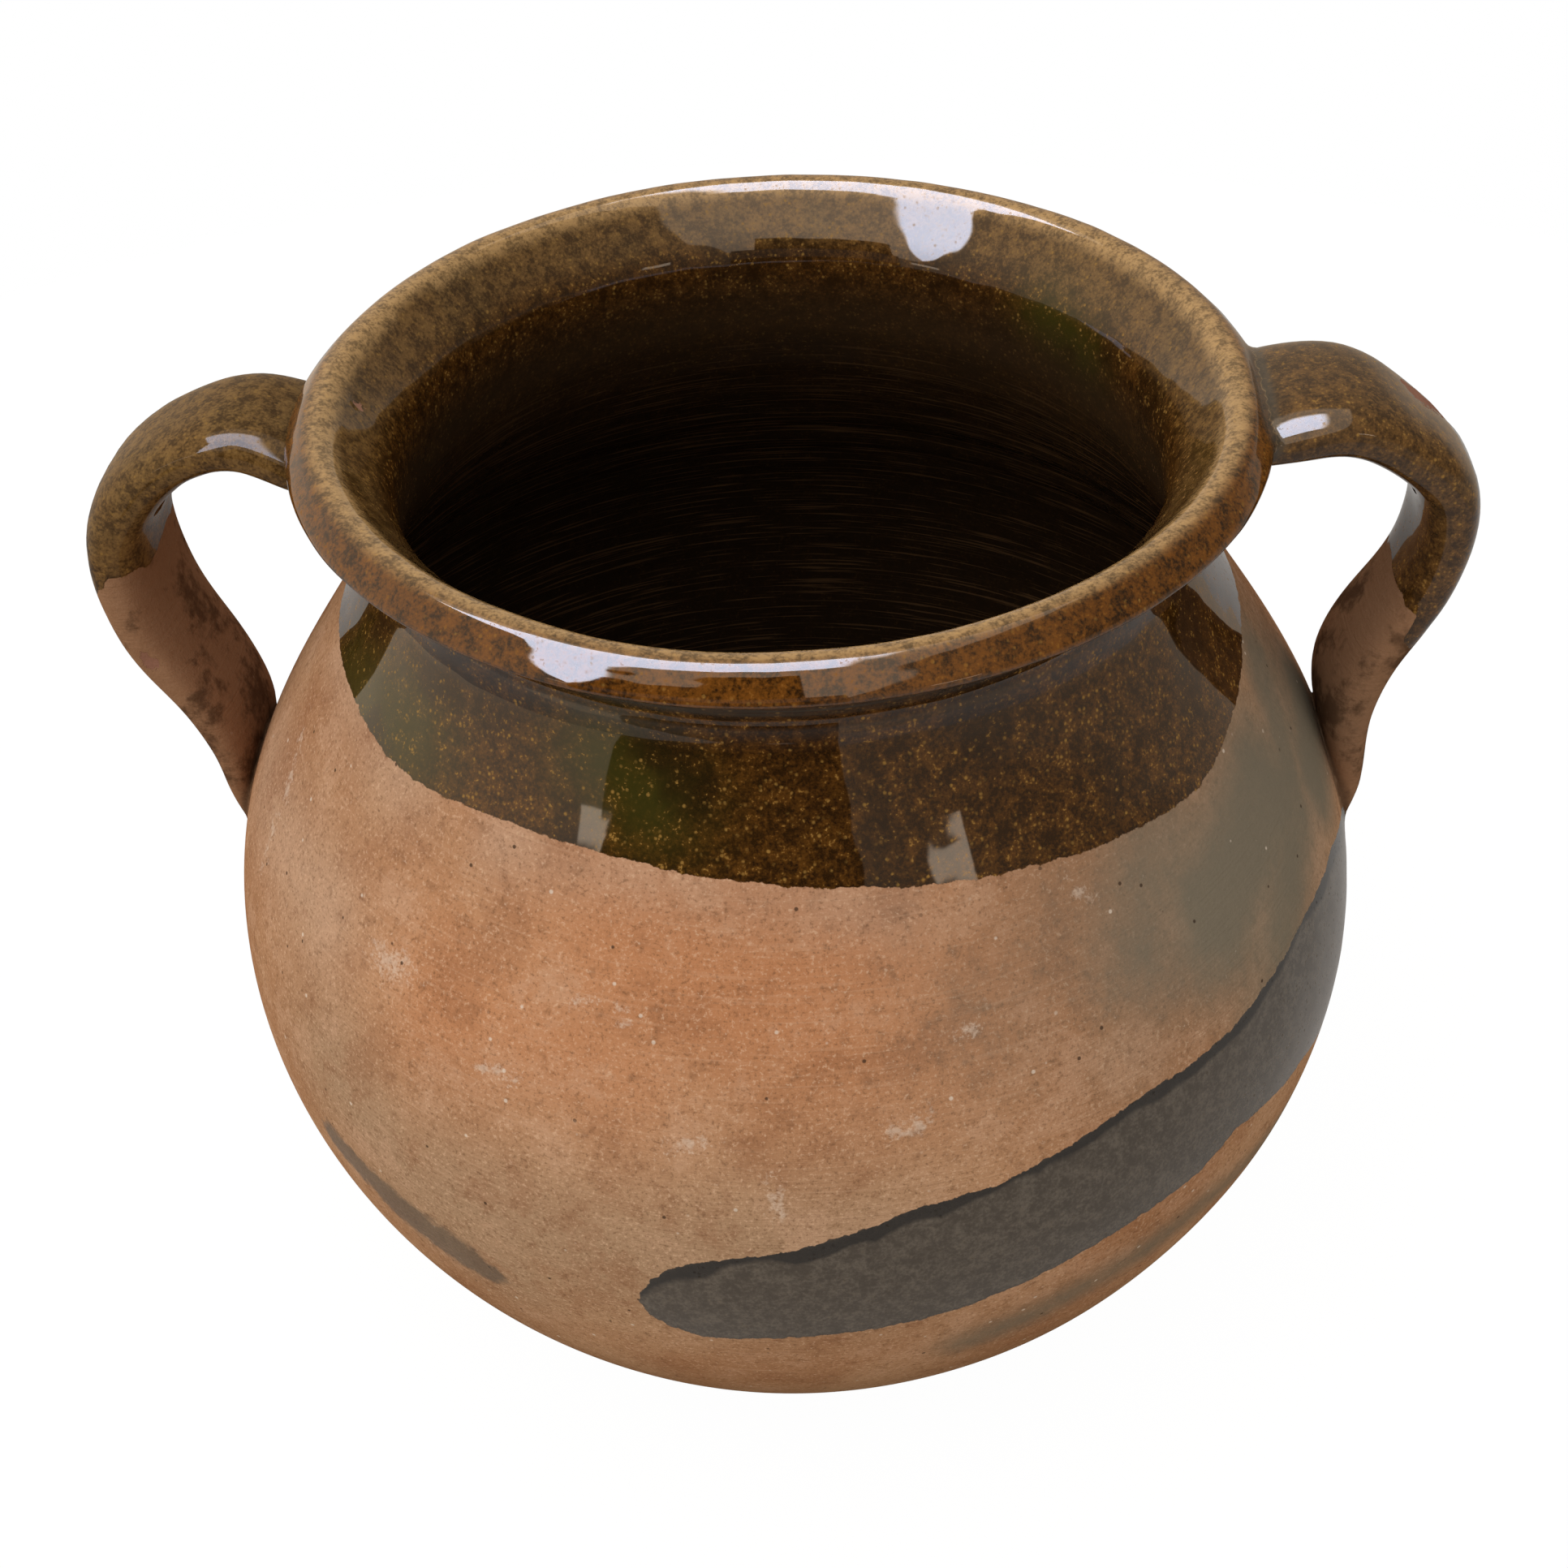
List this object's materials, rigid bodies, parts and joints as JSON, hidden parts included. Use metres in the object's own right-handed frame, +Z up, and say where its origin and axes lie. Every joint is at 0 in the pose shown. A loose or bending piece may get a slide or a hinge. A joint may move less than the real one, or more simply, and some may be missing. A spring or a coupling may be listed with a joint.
{
  "type": "confit pot",
  "caption": "Globular glazed earthenware pot with a flared lip, a flat base and pulled strap handles from lip to belly.",
  "frame": {"origin": "middle of the flat base, on the surface that the pot stands on", "axes": "+Z up along the throwing axis, +X towards the right-hand handle, -Y towards the viewer"},
  "size_m": [0.2839, 0.2532, 0.222],
  "materials": {
    "earthenware": "bare orange-brown clay on the belly, glossy dark brown lead-type glaze on lip, shoulder, handles and inside"
  },
  "bodies": {
    "root": {"pot": "earthenware"}
  },
  "joints": []
}
